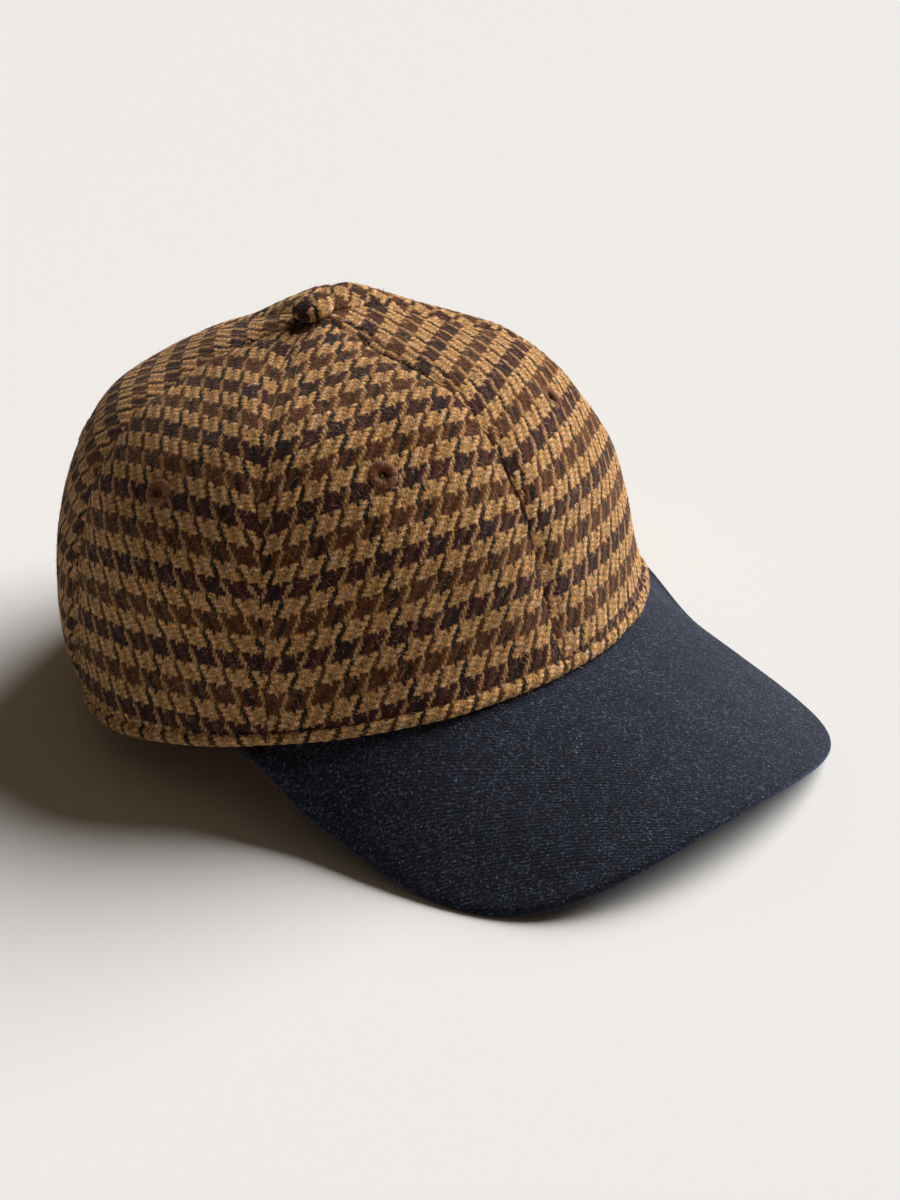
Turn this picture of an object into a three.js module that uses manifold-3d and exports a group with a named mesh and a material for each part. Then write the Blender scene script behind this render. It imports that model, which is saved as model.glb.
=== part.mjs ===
import * as THREE from 'three';
import { mergeVertices } from 'three/addons/utils/BufferGeometryUtils.js';
import Module from 'manifold-3d';

// A six-panel cap of checked tweed with a plain wool peak. Sizes are in millimetres.
// The cap is worked out with its hem level at z = 0, its front toward -Y and the wearer's left toward +X.
// It is then tipped onto the floor, where it lies on the back of its hem and the corners of its peak.
// An angle round the crown is 0 at the centre front and grows toward the wearer's right.

const { degToRad, lerp, smoothstep } = THREE.MathUtils;

// Cloth
const CLOTH_THICKNESS = 2.0;
const HEM_THICKNESS = 3.4;
const HEM_FOLD_TOP = 10;
const HEM_FOLD_END = 14;
const CLEARANCE = 0.3;

// Crown sections before the hem is gathered, from the hem up to the point under the button
const CROWN_SECTIONS = [
  { height: 0.0, halfWidth: 97.2, front: 97.0, back: 104.3 },
  { height: 12.4, halfWidth: 95.2, front: 93.9, back: 94.8 },
  { height: 31.0, halfWidth: 92.0, front: 91.8, back: 83.3 },
  { height: 51.7, halfWidth: 87.0, front: 89.4, back: 80.2 },
  { height: 72.4, halfWidth: 75.4, front: 78.3, back: 72.2 },
  { height: 86.9, halfWidth: 57.2, front: 63.1, back: 59.4 },
  { height: 97.2, halfWidth: 26.3, front: 29.8, back: 29.3 },
  { height: 103.4, halfWidth: 0.0, front: 9.5, back: -9.5 },
];
const TIP_LEVEL = 0.985;

// The back of the hem is gathered, which draws the lower third of the crown in
const GATHER = { share: 0.2185, from: degToRad(78.8), full: degToRad(138.8), height: 34 };

// The cloth stands up in a soft hump on the far side of the button
const HUMP = { height: 7.9, across: 22.7, behind: 12.1, spread: 14.6 };

// Seams, which lie in shallow valleys between the panels
const SIDE_SEAM = 57.2;
const REAR_SEAM = 108.8;
const SEAM_DIP = 1.1;
const SEAM_REACH = 4;
const PANELS = [
  { place: 'front_right', from: 0, to: SIDE_SEAM },
  { place: 'side_right', from: SIDE_SEAM, to: REAR_SEAM },
  { place: 'back_right', from: REAR_SEAM, to: 180 },
  { place: 'back_left', from: 180, to: 360 - REAR_SEAM },
  { place: 'side_left', from: 360 - REAR_SEAM, to: 360 - SIDE_SEAM },
  { place: 'front_left', from: 360 - SIDE_SEAM, to: 360 },
];
const PANEL_COLUMNS = 12;
const PANEL_ROWS = 15;

// Sewn eyelets, one in the middle of each panel
const EYELET_LEVEL = 0.569;
const EYELET_RADIUS = 4.5;
const EYELET_HOLE_RADIUS = 1.5;
const EYELET_PROUD = 0.5;
const EYELET_SIDES = 18;

// Covered button, with the shank that goes down between the tips of the panels
const BUTTON_RADIUS = 6.75;
const BUTTON_SEAT_RADIUS = 5.8;
const BUTTON_RIM = 1.4;
const BUTTON_HEIGHT = 5.2;
const BUTTON_STEPS = 5;
const BUTTON_SIDES = 24;
const BUTTON_LIFT = 0.5;
const SHANK_RADIUS = 1.1;
const SHANK_LENGTH = 3.5;

// Peak, a sheet that leaves the hem and drops toward its front edge and its sides
const PEAK = {
  hemAngle: degToRad(63),
  halfWidth: 84.7,
  length: 64.3,
  sideRoundness: 1.97,
  frontRoundness: 4.88,
  drop: 4.25,
  sideBend: 0.00387,
  frontSlope: 0.432,
  cornerShare: 1 / 3,
};
const PEAK_THICKNESS = 3.2;
const PEAK_EDGE_EASE = 0.8;
const PEAK_TUCK = 2.2;
const PEAK_COLUMNS = 40;
const PEAK_ROWS = 8;

// How the cap lies
const REST_PITCH = degToRad(11.5);
const REST_SINK = 1.0;
const REST_SHIFT = 38.24;

const crownReach = new THREE.CatmullRomCurve3(
  CROWN_SECTIONS.map((row) => new THREE.Vector3(row.halfWidth, row.front, row.back)),
  false,
  'catmullrom',
);
const crownRise = new THREE.CatmullRomCurve3(
  CROWN_SECTIONS.map((row) => new THREE.Vector3(0, 0, row.height)),
  false,
  'catmullrom',
);
const top = CROWN_SECTIONS[CROWN_SECTIONS.length - 1];
const hem = CROWN_SECTIONS[0];

// How far an angle lies from the centre front, either way round
function turnFromFront(angle) {
  return Math.abs(Math.atan2(Math.sin(angle), Math.cos(angle)));
}

// The crown's smooth outer form at a level from 0 at the hem to 1 at the top
function crownForm(level, angle) {
  const reach = crownReach.getPoint(level);
  const height = crownRise.getPoint(level).z;
  const lowness = Math.max(0, 1 - height / GATHER.height);
  const drawn = GATHER.share * smoothstep(turnFromFront(angle), GATHER.from, GATHER.full);
  const kept = 1 - drawn * lowness ** 2;
  const x = -reach.x * Math.sin(angle) * kept;
  const y = ((reach.z - reach.y) / 2 - ((reach.z + reach.y) / 2) * Math.cos(angle)) * kept;
  const fromHump = (x - HUMP.across) ** 2 + (y - top.back - HUMP.behind) ** 2;
  const hump = HUMP.height * Math.exp(-fromHump / (2 * HUMP.spread ** 2));
  return new THREE.Vector3(x, y, height + hump);
}

function crownNormal(level, angle) {
  const step = 0.004;
  const low = Math.max(0, level - step);
  const high = Math.min(1, level + step);
  const upward = crownForm(high, angle).sub(crownForm(low, angle));
  const around = crownForm(level, angle + step).sub(crownForm(level, angle - step));
  return upward.cross(around).normalize();
}

// How deep the valley of the nearest seam is
function seamDip(level, angle) {
  const ring = crownReach.getPoint(level).x;
  let nearest = Infinity;
  for (const { from } of PANELS) {
    nearest = Math.min(nearest, turnFromFront(angle - degToRad(from)) * ring);
  }
  return SEAM_DIP * Math.exp(-((nearest / SEAM_REACH) ** 2));
}

function wallThickness(level) {
  const height = crownRise.getPoint(level).z;
  return lerp(HEM_THICKNESS, CLOTH_THICKNESS, smoothstep(height, HEM_FOLD_TOP, HEM_FOLD_END));
}

// A point in the cloth at a depth under the outer form, with the hem's lower edge kept level
function crownSkin(level, angle, depth) {
  const inward = seamDip(level, angle) + depth;
  const point = crownForm(level, angle).addScaledVector(crownNormal(level, angle), -inward);
  return level === 0 ? point.setZ(0) : point;
}

// The lift that puts the back of the hem a little into the floor, where the cloth flattens
const heel = crownForm(0, Math.PI);
const REST_LIFT = heel.y * Math.sin(REST_PITCH) - REST_SINK;
const floorUp = new THREE.Vector3(0, -Math.sin(REST_PITCH), Math.cos(REST_PITCH));

// Cloth that would lie below the floor is pressed flat on it
function flatten(point) {
  const above = point.dot(floorUp) + REST_LIFT;
  if (above < 0) {
    point.addScaledVector(floorUp, -above);
  }
  return point;
}

// A closed wall with an outer face (layer 0) and an inner face (layer 1), both grids of the same size
function wallGeometry(columns, rows, pointAt) {
  const positions = [];
  for (const layer of [0, 1]) {
    for (let row = 0; row <= rows; row += 1) {
      for (let column = 0; column <= columns; column += 1) {
        positions.push(...flatten(pointAt(layer, column / columns, row / rows)));
      }
    }
  }
  const vertex = (layer, column, row) => (layer * (rows + 1) + row) * (columns + 1) + column;
  const triangles = [];
  const quad = (a, b, c, d) => triangles.push(a, b, c, a, c, d);
  for (let row = 0; row < rows; row += 1) {
    for (let column = 0; column < columns; column += 1) {
      const corners = [[column, row], [column, row + 1], [column + 1, row + 1], [column + 1, row]];
      quad(...corners.map((corner) => vertex(0, ...corner)));
      quad(...corners.reverse().map((corner) => vertex(1, ...corner)));
    }
  }
  for (let column = 0; column < columns; column += 1) {
    const next = column + 1;
    quad(vertex(0, column, 0), vertex(0, next, 0), vertex(1, next, 0), vertex(1, column, 0));
    quad(vertex(0, next, rows), vertex(0, column, rows), vertex(1, column, rows), vertex(1, next, rows));
  }
  for (let row = 0; row < rows; row += 1) {
    const next = row + 1;
    quad(vertex(0, 0, next), vertex(0, 0, row), vertex(1, 0, row), vertex(1, 0, next));
    quad(vertex(0, columns, row), vertex(0, columns, next), vertex(1, columns, next), vertex(1, columns, row));
  }
  const geometry = new THREE.BufferGeometry();
  geometry.setAttribute('position', new THREE.Float32BufferAttribute(positions, 3));
  geometry.setIndex(triangles);
  return geometry;
}

const wasm = await Module();
wasm.setup();

function toSolid(geometry) {
  const bare = geometry.clone();
  bare.deleteAttribute('normal');
  bare.deleteAttribute('uv');
  const merged = mergeVertices(bare);
  return new wasm.Manifold(new wasm.Mesh({
    numProp: 3,
    vertProperties: new Float32Array(merged.getAttribute('position').array),
    triVerts: new Uint32Array(merged.getIndex().array),
  }));
}

function toGeometry(solid) {
  const mesh = solid.getMesh();
  const geometry = new THREE.BufferGeometry();
  geometry.setAttribute('position', new THREE.Float32BufferAttribute(mesh.vertProperties, 3));
  geometry.setIndex([...mesh.triVerts]);
  return geometry;
}

// Columns stand closer together beside the seams, where the cloth curves most
function panelGeometry({ from, to }) {
  return wallGeometry(PANEL_COLUMNS, PANEL_ROWS, (layer, across, up) => {
    const level = up * TIP_LEVEL;
    const margin = CLEARANCE / 2 / crownReach.getPoint(level).x;
    const share = (1 - Math.cos(across * Math.PI)) / 2;
    const angle = lerp(degToRad(from) + margin, degToRad(to) - margin, share);
    return crownSkin(level, angle, layer * wallThickness(level));
  });
}

// Places a piece whose axis is Y so that the axis stands out of the cloth
function standOnCrown(mesh, level, angle, depth) {
  mesh.position.copy(crownSkin(level, angle, depth));
  mesh.quaternion.setFromUnitVectors(new THREE.Vector3(0, 1, 0), crownNormal(level, angle));
  mesh.updateMatrix();
  return mesh;
}

function eyeletGeometry() {
  const halfHeight = CLOTH_THICKNESS / 2 + EYELET_PROUD;
  const bevel = EYELET_PROUD;
  const ring = [
    [EYELET_RADIUS, 0],
    [EYELET_RADIUS - bevel / 2, halfHeight - bevel],
    [EYELET_RADIUS - 2 * bevel, halfHeight],
    [EYELET_HOLE_RADIUS + bevel, halfHeight],
    [EYELET_HOLE_RADIUS, 0],
    [EYELET_HOLE_RADIUS + bevel, -halfHeight],
    [EYELET_RADIUS - bevel, -halfHeight],
    [EYELET_RADIUS, 0],
  ];
  return new THREE.LatheGeometry(ring.map(([r, y]) => new THREE.Vector2(r, y)), EYELET_SIDES);
}

function cutEyeletHole(geometry, angle) {
  const radius = EYELET_RADIUS + CLEARANCE;
  const depth = 4 * CLOTH_THICKNESS;
  const drill = new THREE.Mesh(new THREE.CylinderGeometry(radius, radius, depth, EYELET_SIDES));
  standOnCrown(drill, EYELET_LEVEL, angle, CLOTH_THICKNESS / 2);
  const bore = drill.geometry.applyMatrix4(drill.matrix);
  return toGeometry(toSolid(geometry).subtract(toSolid(bore)));
}

// The button stands on the tips of the panels, square to the cloth around them
function seatButton(mesh) {
  const steps = 24;
  const centre = new THREE.Vector3();
  const axis = new THREE.Vector3();
  for (let step = 0; step < steps; step += 1) {
    const angle = (step / steps) * 2 * Math.PI;
    centre.addScaledVector(crownSkin(TIP_LEVEL, angle, 0), 1 / steps);
    axis.add(crownNormal(TIP_LEVEL, angle));
  }
  axis.normalize();
  mesh.position.copy(centre).addScaledVector(axis, BUTTON_LIFT);
  mesh.quaternion.setFromUnitVectors(new THREE.Vector3(0, 1, 0), axis);
  return mesh;
}

// A domed head over a flat underside, and the shank
function buttonGeometry() {
  const profile = [
    new THREE.Vector2(0, -SHANK_LENGTH),
    new THREE.Vector2(SHANK_RADIUS, -SHANK_LENGTH),
    new THREE.Vector2(SHANK_RADIUS, 0),
    new THREE.Vector2(BUTTON_SEAT_RADIUS, 0),
  ];
  for (let step = 0; step < BUTTON_STEPS; step += 1) {
    const turn = ((step / BUTTON_STEPS) * Math.PI) / 2;
    const height = lerp(BUTTON_RIM, BUTTON_HEIGHT, Math.sin(turn));
    profile.push(new THREE.Vector2(BUTTON_RADIUS * Math.cos(turn), height));
  }
  profile.push(new THREE.Vector2(0, BUTTON_HEIGHT));
  return new THREE.LatheGeometry(profile, BUTTON_SIDES);
}

// The peak's outer edge, from -1 at the wearer's left end to 1 at the right end
function peakEdge(place) {
  const ends = crownForm(0, PEAK.hemAngle);
  const frontY = -(hem.front + PEAK.length);
  const quarter = 1 - (1 - Math.abs(place)) ** 2;
  const sine = Math.sin((quarter * Math.PI) / 2);
  const cosine = Math.max(0, Math.cos((quarter * Math.PI) / 2));
  const y = lerp(ends.y, frontY, cosine ** (2 / PEAK.frontRoundness));
  const forward = (ends.y - y) / (ends.y - frontY);
  const closing = 1 - smoothstep(forward, 0, PEAK.cornerShare);
  const wide = lerp(PEAK.halfWidth * sine ** (2 / PEAK.sideRoundness), -ends.x, closing);
  const sunk = PEAK.drop + PEAK.sideBend * wide ** 2 - PEAK.frontSlope * (y + hem.front);
  const z = -Math.max(CLEARANCE, sunk * (1 - closing ** 2));
  return new THREE.Vector3(-Math.sign(place) * wide, y, z);
}

// Straight lines lead from just under the hem to the outer edge
function peakSheet(place, outward) {
  const root = crownForm(0, place * PEAK.hemAngle);
  const reach = Math.hypot(root.x, root.y);
  root.multiplyScalar((reach - PEAK_TUCK) / reach).setZ(-CLEARANCE);
  return root.lerp(peakEdge(place), outward);
}

function peakGeometry() {
  return wallGeometry(PEAK_COLUMNS, PEAK_ROWS, (layer, across, inward) => {
    const outward = 1 - inward;
    const point = peakSheet(lerp(-1, 1, across), outward);
    const ease = outward === 1 ? PEAK_EDGE_EASE : 0;
    point.z += layer === 0 ? -ease : ease - PEAK_THICKNESS;
    return point;
  });
}

function cloth(color) {
  return new THREE.MeshStandardMaterial({ color, roughness: 0.95, metalness: 0 });
}

function namedMesh(name, geometry, color) {
  const mesh = new THREE.Mesh(geometry, cloth(color));
  mesh.name = name;
  return mesh;
}

const cap = new THREE.Group();
cap.rotation.x = -REST_PITCH;
cap.position.set(0, REST_SHIFT, REST_LIFT);

for (const panel of PANELS) {
  const middle = degToRad((panel.from + panel.to) / 2);
  const wall = cutEyeletHole(panelGeometry(panel), middle);
  cap.add(namedMesh(`panel_${panel.place}`, wall, '#8d6a44'));
  const eyelet = namedMesh(`eyelet_${panel.place}`, eyeletGeometry(), '#5a3419');
  cap.add(standOnCrown(eyelet, EYELET_LEVEL, middle, CLOTH_THICKNESS / 2));
}
cap.add(namedMesh('peak', peakGeometry(), '#2b2d36'));
cap.add(seatButton(namedMesh('button', buttonGeometry(), '#7c5a38')));

const model = new THREE.Group();
model.add(cap);

export default model;
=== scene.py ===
import math
import bpy
import numpy as np
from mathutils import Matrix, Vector


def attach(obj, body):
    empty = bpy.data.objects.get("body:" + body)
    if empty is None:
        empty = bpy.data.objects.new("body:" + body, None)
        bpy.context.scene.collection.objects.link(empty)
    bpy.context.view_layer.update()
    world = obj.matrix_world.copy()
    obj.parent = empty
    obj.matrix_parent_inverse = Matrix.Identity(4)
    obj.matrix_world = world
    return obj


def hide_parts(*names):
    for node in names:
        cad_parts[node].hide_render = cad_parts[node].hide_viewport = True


# A tweed cap with a navy wool peak. The shape is worked out in millimetres with the hem level at z = 0,
# the front toward -Y and the wearer's left toward +X. It is then laid on the floor and turned to metres.
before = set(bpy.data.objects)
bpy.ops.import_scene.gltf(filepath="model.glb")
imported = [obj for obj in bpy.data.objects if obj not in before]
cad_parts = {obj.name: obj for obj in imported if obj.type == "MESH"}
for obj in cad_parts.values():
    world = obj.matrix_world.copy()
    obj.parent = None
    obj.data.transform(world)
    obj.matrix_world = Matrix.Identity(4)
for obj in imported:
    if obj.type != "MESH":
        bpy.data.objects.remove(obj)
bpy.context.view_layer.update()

MM = 0.001
ROOT = "root"

# Cloth, and the gaps that keep pieces apart
CLOTH_THICKNESS = 2.0
HEM_THICKNESS = 3.4
HEM_FOLD_TOP = 10.0
HEM_FOLD_END = 14.0
CLEARANCE = 0.3
SEAM_GAP = 0.03

# Crown sections before the hem is gathered, from the hem up to the point under the button
HEIGHT, HALF_WIDTH, FRONT, BACK = range(4)
CROWN_SECTIONS = np.array([
    (0.0, 97.2, 97.0, 104.3),
    (12.4, 95.2, 93.9, 94.8),
    (31.0, 92.0, 91.8, 83.3),
    (51.7, 87.0, 89.4, 80.2),
    (72.4, 75.4, 78.3, 72.2),
    (86.9, 57.2, 63.1, 59.4),
    (97.2, 26.3, 29.8, 29.3),
    (103.4, 0.0, 9.5, -9.5),
])
TIP_LEVEL = 0.985
GATHER_SHARE = 0.2185
GATHER_FROM = math.radians(78.8)
GATHER_FULL = math.radians(138.8)
GATHER_HEIGHT = 34.0
HUMP_HEIGHT = 7.9
HUMP_ACROSS = 22.7
HUMP_BEHIND = 12.1
HUMP_SPREAD = 14.6

# Seams: a wide shallow valley, and a narrow crease where the cloth turns in
SIDE_SEAM = 57.2
REAR_SEAM = 108.8
SEAM_DIP = 0.85
SEAM_REACH = 4.0
CREASE_DEPTH = 0.3
CREASE_REACH = 0.9
TOPSTITCH_OFFSET = 3.6
TOPSTITCH_DEPTH = 0.3
TOPSTITCH_REACH = 0.55
SEAM_AT_HEM = 0.4
SEAM_FULL_HEIGHT = 24.0

# Panels: place, angles of the two seams, which face of the cloth is out, the slope of the grain in degrees,
# and where the check starts, in warp ends and weft picks
PANELS = [
    ("front_right", 0.0, SIDE_SEAM, 1, 4.3, 8.5, 9.5),
    ("side_right", SIDE_SEAM, REAR_SEAM, -1, -5.5, 8.0, 7.5),
    ("back_right", REAR_SEAM, 180.0, 1, 3.0, 4.0, 8.5),
    ("back_left", 180.0, 360.0 - REAR_SEAM, 1, -3.0, 4.0, 8.5),
    ("side_left", 360.0 - REAR_SEAM, 360.0 - SIDE_SEAM, -1, 5.5, 8.0, 7.5),
    ("front_left", 360.0 - SIDE_SEAM, 360.0, 1, 0.0, 10.5, 11.0),
]

# Weave: a two-and-two twill, four threads to a stripe and four stripes to a repeat each way
WARP_PITCH = 1.05
WEFT_PITCH = 1.385
THREAD_ROUND = 0.20
THREAD_WAVE = 0.20
WEFT_STAND = 0.16
WEFT_LAG = 3.0
THREADS_IN_STRIPE = 4
STRIPES_IN_REPEAT = 4

# Hem: a rolled edge cut along a tan stripe, with a sewn groove above it
HEM_ROLL_HEIGHT = 3.6
HEM_ROLL = 0.9
HEM_ROLL_PICK = 8.4
HEM_GROOVE = 0.6
HEM_GROOVE_REACH = 0.8

# Eyelets
EYELET_LEVEL = 0.569
EYELET_RADIUS = 4.6
EYELET_HOLE_RADIUS = 1.5
EYELET_PROUD = 0.7
EYELET_STITCHES = 28
EYELET_CUT_RADIUS = 3.2
POINTS_ON_STITCH = 5
POINTS_ON_EYELET_SECTION = 14

# Button, with its cloth's face and the start of its check as on the panels
BUTTON_RADIUS = 6.75
BUTTON_SEAT_RADIUS = 5.8
BUTTON_RIM = 1.4
BUTTON_HEIGHT = 5.2
BUTTON_LIFT = 0.5
BUTTON_SIDES = 72
BUTTON_CHECK = (1, 10.0, 14.0)

# Peak
PEAK_HEM_ANGLE = math.radians(63.0)
PEAK_HALF_WIDTH = 84.7
PEAK_LENGTH = 64.3
PEAK_SIDE_ROUNDNESS = 1.97
PEAK_FRONT_ROUNDNESS = 4.88
PEAK_DROP = 4.25
PEAK_SIDE_BEND = 0.00387
PEAK_FRONT_SLOPE = 0.432
PEAK_CORNER_SHARE = 1 / 3
PEAK_THICKNESS = 3.2
PEAK_TUCK = 2.2
PEAK_SWELL = 0.35
PEAK_STRAIGHT_FROM = 0.5
PEAK_STRAIGHT_FULL = 0.9
PEAK_COLUMNS = 211
PEAK_ROWS = 54

# Slow swells of the cloth: their lengths, and their height as a share of the length
SWELL_LENGTHS = (46.0, 31.0, 22.0, 15.0)
SWELL_SHARE = 0.006

# Loose fibres: how many, how wide, how far they stand off as a share of their length, and how long
FIBRE_SEGMENTS = 3
PANEL_FIBRES = 5200
PANEL_FIBRE_WIDTH = 0.11
PANEL_FIBRE_STAND = 0.13
PANEL_FIBRE_LENGTHS = (1.0, 3.2)
PEAK_FIBRES = 6000
PEAK_FIBRE_WIDTH = 0.075
PEAK_FIBRE_STAND = 0.07
PEAK_FIBRE_LENGTHS = (0.7, 1.9)

# How the cap lies
REST_PITCH = math.radians(11.5)
REST_SINK = 1.0
REST_SHIFT = 38.24

# View: where the camera looks, from which side, and its lens
CAMERA_TARGET = (-27.9, -34.5, 62.0)
CAMERA_DISTANCE = 1102.0
CAMERA_AZIMUTH = math.radians(-45.87)
CAMERA_ELEVATION = math.radians(28.76)
PHOTO_HEIGHT_PX = 1200
FOCAL_LENGTH_PX = 3725
SENSOR_HEIGHT_MM = 36.0

# Light: the room, and a wide soft sun with the side that it comes from
ROOM_STRENGTH = 0.07
SUN_STRENGTH = 5.2
SUN_SPREAD = math.radians(50.0)
SUN_FROM = (0.80, -0.12, 0.59)
FLOOR_HALF_SIZE = 4000.0

chance = np.random.default_rng(11)


def smoothstep(value, low, high):
    share = np.clip((value - low) / (high - low), 0.0, 1.0)
    return share * share * (3.0 - 2.0 * share)


def between_rows(rows, place):
    """A smooth curve through the rows of a table, from place 0 at the first row to 1 at the last."""
    last = len(rows) - 1
    at = np.clip(np.asarray(place, float) * last, 0.0, last - 1e-9)
    row = at.astype(int)
    t = (at - row)[..., None]
    longer = np.vstack([2 * rows[:1] - rows[1:2], rows, 2 * rows[-1:] - rows[-2:-1]])
    a, b, c, d = (longer[row + step] for step in range(4))
    return b + 0.5 * t * (c - a + t * (2 * a - 5 * b + 4 * c - d + t * (3 * (b - c) + d - a)))


def turn_from_front(angle):
    """How far an angle is from the front, either way round."""
    return np.abs(np.arctan2(np.sin(angle), np.cos(angle)))


def crown_form(level, angle):
    """The crown's smooth outer form, from level 0 at the hem to 1 at the top."""
    level, angle = np.broadcast_arrays(np.asarray(level, float), np.asarray(angle, float))
    section = between_rows(CROWN_SECTIONS, level)
    height = section[..., HEIGHT]
    front = section[..., FRONT]
    back = section[..., BACK]
    lowness = np.maximum(0.0, 1.0 - height / GATHER_HEIGHT)
    drawn = GATHER_SHARE * smoothstep(turn_from_front(angle), GATHER_FROM, GATHER_FULL)
    kept = 1.0 - drawn * lowness ** 2
    x = -section[..., HALF_WIDTH] * np.sin(angle) * kept
    y = ((back - front) / 2 - (back + front) / 2 * np.cos(angle)) * kept
    from_hump = (x - HUMP_ACROSS) ** 2 + (y - CROWN_SECTIONS[-1, BACK] - HUMP_BEHIND) ** 2
    hump = HUMP_HEIGHT * np.exp(-from_hump / (2 * HUMP_SPREAD ** 2))
    return np.stack([x, y, height + hump], -1)


def crown_normal(level, angle):
    """The direction straight out of the crown's form."""
    step = 0.004
    level = np.asarray(level, float)
    low = np.maximum(0.0, level - step)
    high = np.minimum(1.0, level + step)
    upward = crown_form(high, angle) - crown_form(low, angle)
    around = crown_form(level, angle + step) - crown_form(level, angle - step)
    return unit(np.cross(upward, around))


def unit(vectors):
    """The same directions with a length of one."""
    return vectors / np.maximum(np.linalg.norm(vectors, axis=-1, keepdims=True), 1e-12)


HEEL_Y = crown_form(0.0, math.pi)[1]
REST_LIFT = HEEL_Y * math.sin(REST_PITCH) - REST_SINK


def lie_down(points):
    """Tips the upright cap onto the floor, and presses flat what would lie below it."""
    cosine = math.cos(REST_PITCH)
    sine = math.sin(REST_PITCH)
    x, y, z = np.moveaxis(np.asarray(points, float), -1, 0)
    height = np.maximum(0.0, z * cosine - y * sine + REST_LIFT)
    return np.stack([x, y * cosine + z * sine + REST_SHIFT, height], -1)


def lie_down_direction(vectors):
    """Tips directions as lie_down tips points."""
    cosine = math.cos(REST_PITCH)
    sine = math.sin(REST_PITCH)
    x, y, z = np.moveaxis(np.asarray(vectors, float), -1, 0)
    return np.stack([x, y * cosine + z * sine, z * cosine - y * sine], -1)


def crown_height(level):
    """Height above the hem, without the hump."""
    return between_rows(CROWN_SECTIONS, level)[..., HEIGHT]


def wall_thickness(level):
    """The cloth's thickness, which is more where the hem is turned up."""
    fold = 1.0 - smoothstep(crown_height(level), HEM_FOLD_TOP, HEM_FOLD_END)
    return CLOTH_THICKNESS + (HEM_THICKNESS - CLOTH_THICKNESS) * fold


class PanelCut:
    """One panel as it is cut flat: x is across and y is up from the hem, both along the cloth."""

    def __init__(self, start_degrees, end_degrees):
        self.start = math.radians(start_degrees)
        self.end = math.radians(end_degrees)
        self.middle = (self.start + self.end) / 2
        self.half_angle = (self.end - self.start) / 2
        self.levels = np.linspace(0.0, TIP_LEVEL, 240)
        centre_line = crown_form(self.levels, self.middle)
        steps = np.linalg.norm(np.diff(centre_line, axis=0), axis=1)
        self.climb = np.concatenate([[0.0], np.cumsum(steps)])
        across = np.linspace(self.start, self.end, 49)
        rings = crown_form(self.levels[:, None], across[None, :])
        ring_steps = np.linalg.norm(np.diff(rings, axis=1), axis=2)
        self.half_width = ring_steps.sum(1) / 2 - SEAM_GAP / 2
        lean = crown_normal(self.levels, np.full_like(self.levels, self.middle))[:, 2]
        self.bow = lean * self.half_angle / (2 * self.half_width)

    def place(self, x, y):
        """Where a point of the flat cloth lies: its level and angle, and x and y kept inside the panel."""
        level = np.interp(y, self.climb, self.levels)
        for _ in range(4):
            half = np.interp(level, self.levels, self.half_width)
            inside = np.clip(x, -half, half)
            rise = inside ** 2 * np.interp(level, self.levels, self.bow)
            level = np.interp(y - rise, self.climb, self.levels)
        half = np.interp(level, self.levels, self.half_width)
        inside = np.clip(x, -half, half)
        rise = inside ** 2 * np.interp(level, self.levels, self.bow)
        angle = self.middle - inside / half * self.half_angle * half / (half + SEAM_GAP / 2)
        return level, angle, inside, np.interp(level, self.levels, self.climb) + rise

    def seam_distance(self, level, x):
        """How far a point lies from the nearer seam."""
        return np.interp(level, self.levels, self.half_width) - np.abs(x)


def thread_relief(ends, picks):
    """How high the upper thread of a two-and-two twill stands, at a place counted in threads."""
    end = np.floor(ends)
    pick = np.floor(picks)
    warp = np.sin(np.pi * (ends - end)) * THREAD_ROUND
    warp = warp + THREAD_WAVE * np.cos(np.pi / 2 * (picks - end))
    weft = np.sin(np.pi * (picks - pick)) * THREAD_ROUND + WEFT_STAND
    weft = weft + THREAD_WAVE * np.cos(np.pi / 2 * (ends - pick - WEFT_LAG))
    return np.maximum(warp, weft)


def cloth_unevenness(x, y, seed):
    """Slow swells of a few tenths of a millimetre, as soft cloth has."""
    waves = np.random.default_rng(seed)
    total = np.zeros_like(x)
    for length in SWELL_LENGTHS:
        heading, phase = waves.uniform(0.0, 2 * math.pi, 2)
        along = x * math.cos(heading) + y * math.sin(heading)
        total = total + np.sin(along * 2 * math.pi / length + phase) * length * SWELL_SHARE
    return total


def panel_depth(cut, level, x, y, seed):
    """How far the outer face lies inside the smooth form: seams, sewn grooves, hem roll and swells."""
    height = crown_height(level)
    gap = cut.seam_distance(level, x)
    seam = SEAM_DIP * np.exp(-(gap / SEAM_REACH) ** 2)
    seam = seam + CREASE_DEPTH * np.exp(-(gap / CREASE_REACH) ** 2)
    seam = seam + TOPSTITCH_DEPTH * np.exp(-((gap - TOPSTITCH_OFFSET) / TOPSTITCH_REACH) ** 2)
    above_hem = smoothstep(height, HEM_ROLL_HEIGHT, SEAM_FULL_HEIGHT)
    seam = seam * (SEAM_AT_HEM + (1.0 - SEAM_AT_HEM) * above_hem)
    roll = np.clip(1.0 - (2 * height / HEM_ROLL_HEIGHT - 1.0) ** 2, 0.0, 1.0)
    groove = np.exp(-((height - HEM_ROLL_HEIGHT - HEM_GROOVE_REACH) / HEM_GROOVE_REACH) ** 2)
    return seam - HEM_ROLL * np.sqrt(roll) + HEM_GROOVE * groove - cloth_unevenness(x, y, seed)


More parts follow.
